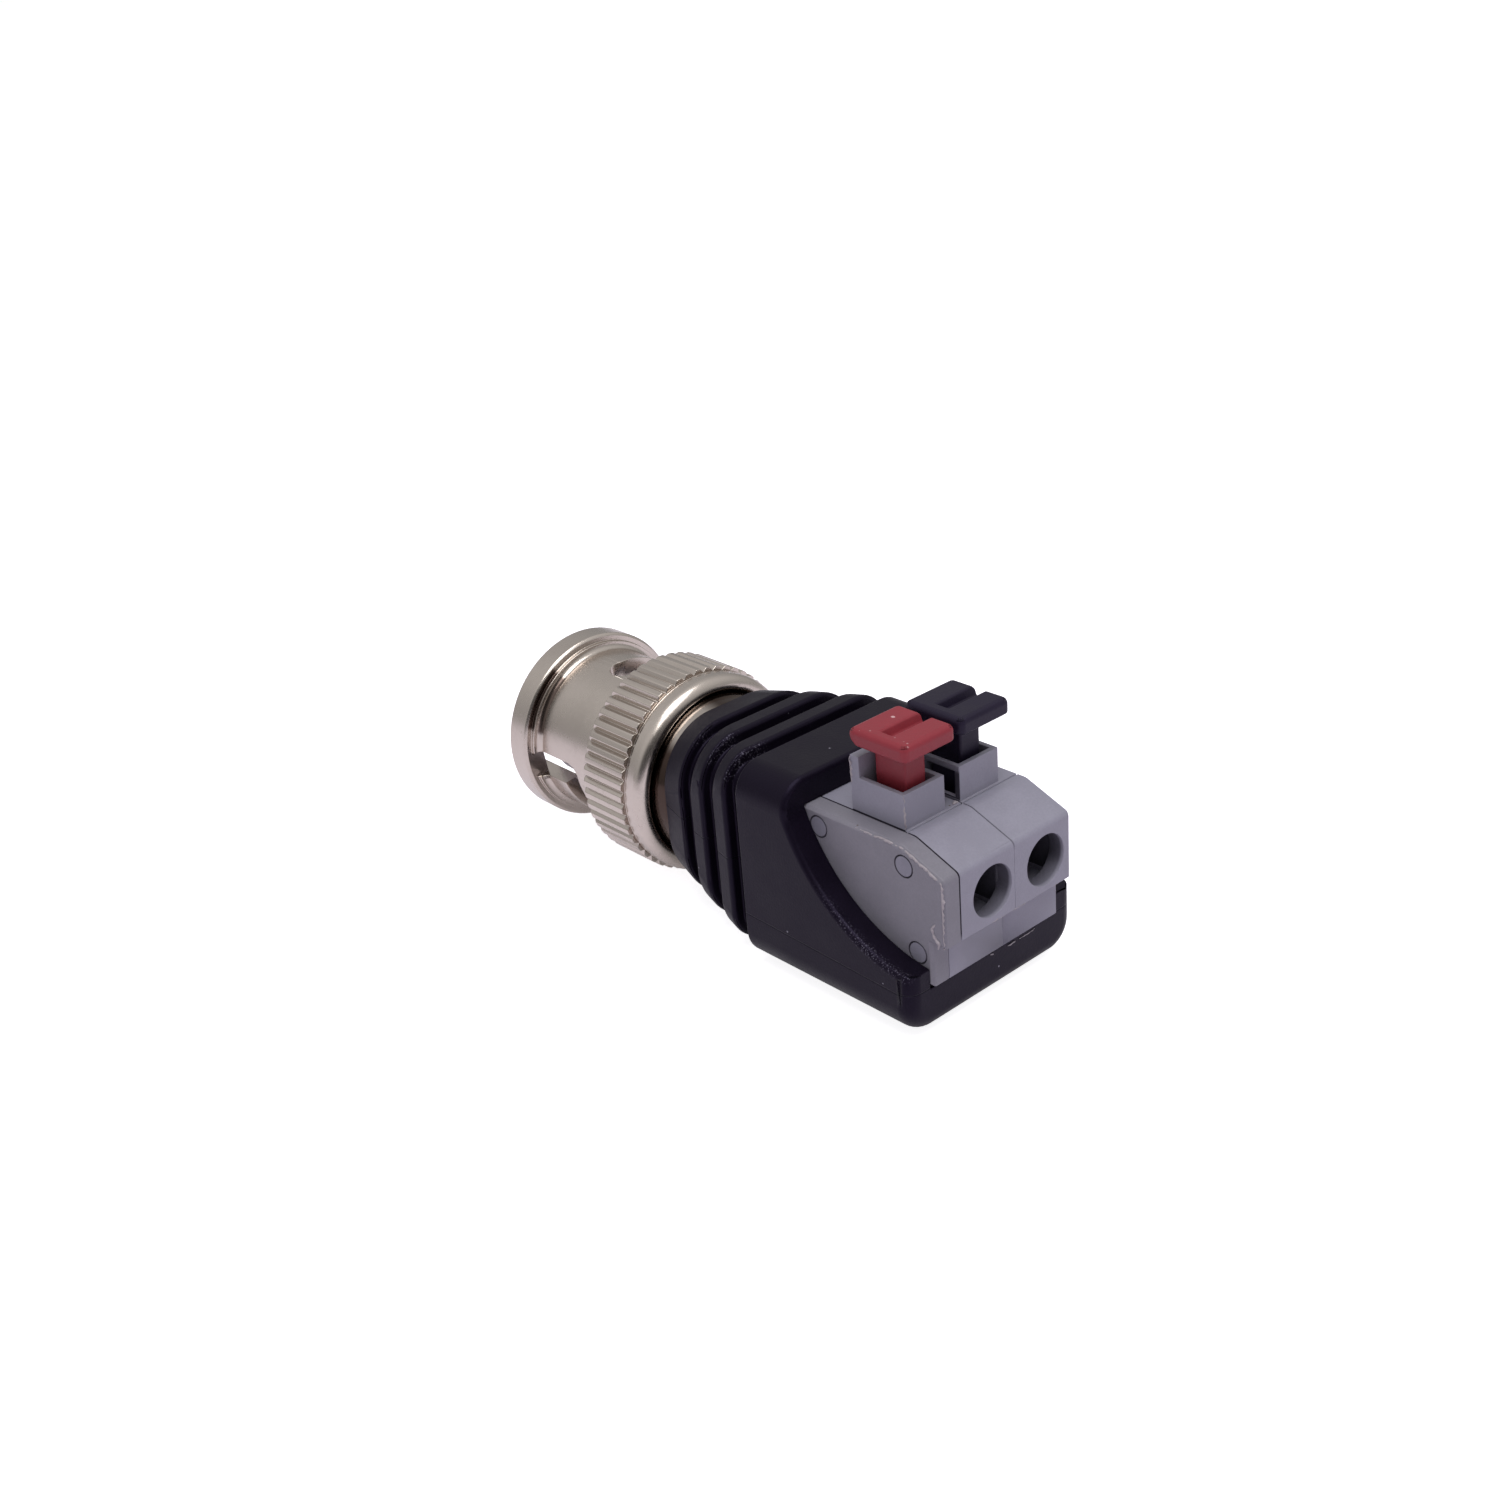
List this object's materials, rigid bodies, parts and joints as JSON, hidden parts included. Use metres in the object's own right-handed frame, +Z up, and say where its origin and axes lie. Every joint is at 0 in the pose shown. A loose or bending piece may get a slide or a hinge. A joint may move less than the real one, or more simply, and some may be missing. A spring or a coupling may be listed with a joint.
{
  "type": "coaxial bayonet plug adapter",
  "caption": "Male coaxial bayonet plug on a ribbed moulded housing with a spring terminal block opened by a red and a black push button.",
  "frame": {"origin": "centre of the coupling's mouth, on the plug's axis", "axes": "+Y out of the mouth along the plug's axis, +Z up to the push buttons, wires enter from -Y, the red pole on the -X side"},
  "size_m": [0.0158, 0.0431, 0.019],
  "materials": {
    "nickel": "satin nickel plate",
    "steel": "bright spring steel",
    "contact": "plated contact",
    "copper": "tinned wire",
    "rubber": "matt",
    "white": "smooth",
    "housing": "satin, fine grain",
    "block": "satin",
    "red": "satin",
    "black": "satin"
  },
  "bodies": {
    "adapter": {"plug_body": "nickel", "gasket": "rubber", "retaining_ring": "steel", "wave_washer": "steel", "outer_contact": "contact", "insulator": "white", "centre_pin": "contact", "housing": "housing", "end_cover": "block", "terminal_module_red": "block", "terminal_module_black": "block", "clamp_spring_red": "steel", "clamp_spring_black": "steel", "contact_bar_red": "contact", "contact_bar_black": "contact", "signal_lead": "copper", "ground_lead": "copper"},
    "thrust": {"thrust_ring": "steel"},
    "coupling": {"coupling_sleeve": "nickel"},
    "red_push": {"red_button": "red"},
    "black_push": {"black_button": "black"}
  },
  "joints": [
    {"name": "coupling_pull", "type": "slide", "parent": "adapter", "child": "thrust", "axis": [0, 1, 0], "range_m": [0, 0.0006], "stiffness_N_per_m": 1500, "springref_m": -0.0005, "deforming": ["wave_washer"]},
    {"name": "coupling_turn", "type": "hinge", "parent": "thrust", "child": "coupling", "pos_m": [0, 0, 0], "axis": [0, 1, 0], "continuous": true},
    {"name": "red_press", "type": "slide", "parent": "adapter", "child": "red_push", "axis": [0, 0, -1], "range_m": [0, 0.0014], "stiffness_N_per_m": 400, "deforming": ["clamp_spring_red"]},
    {"name": "black_press", "type": "slide", "parent": "adapter", "child": "black_push", "axis": [0, 0, -1], "range_m": [0, 0.0014], "stiffness_N_per_m": 400, "deforming": ["clamp_spring_black"]}
  ]
}
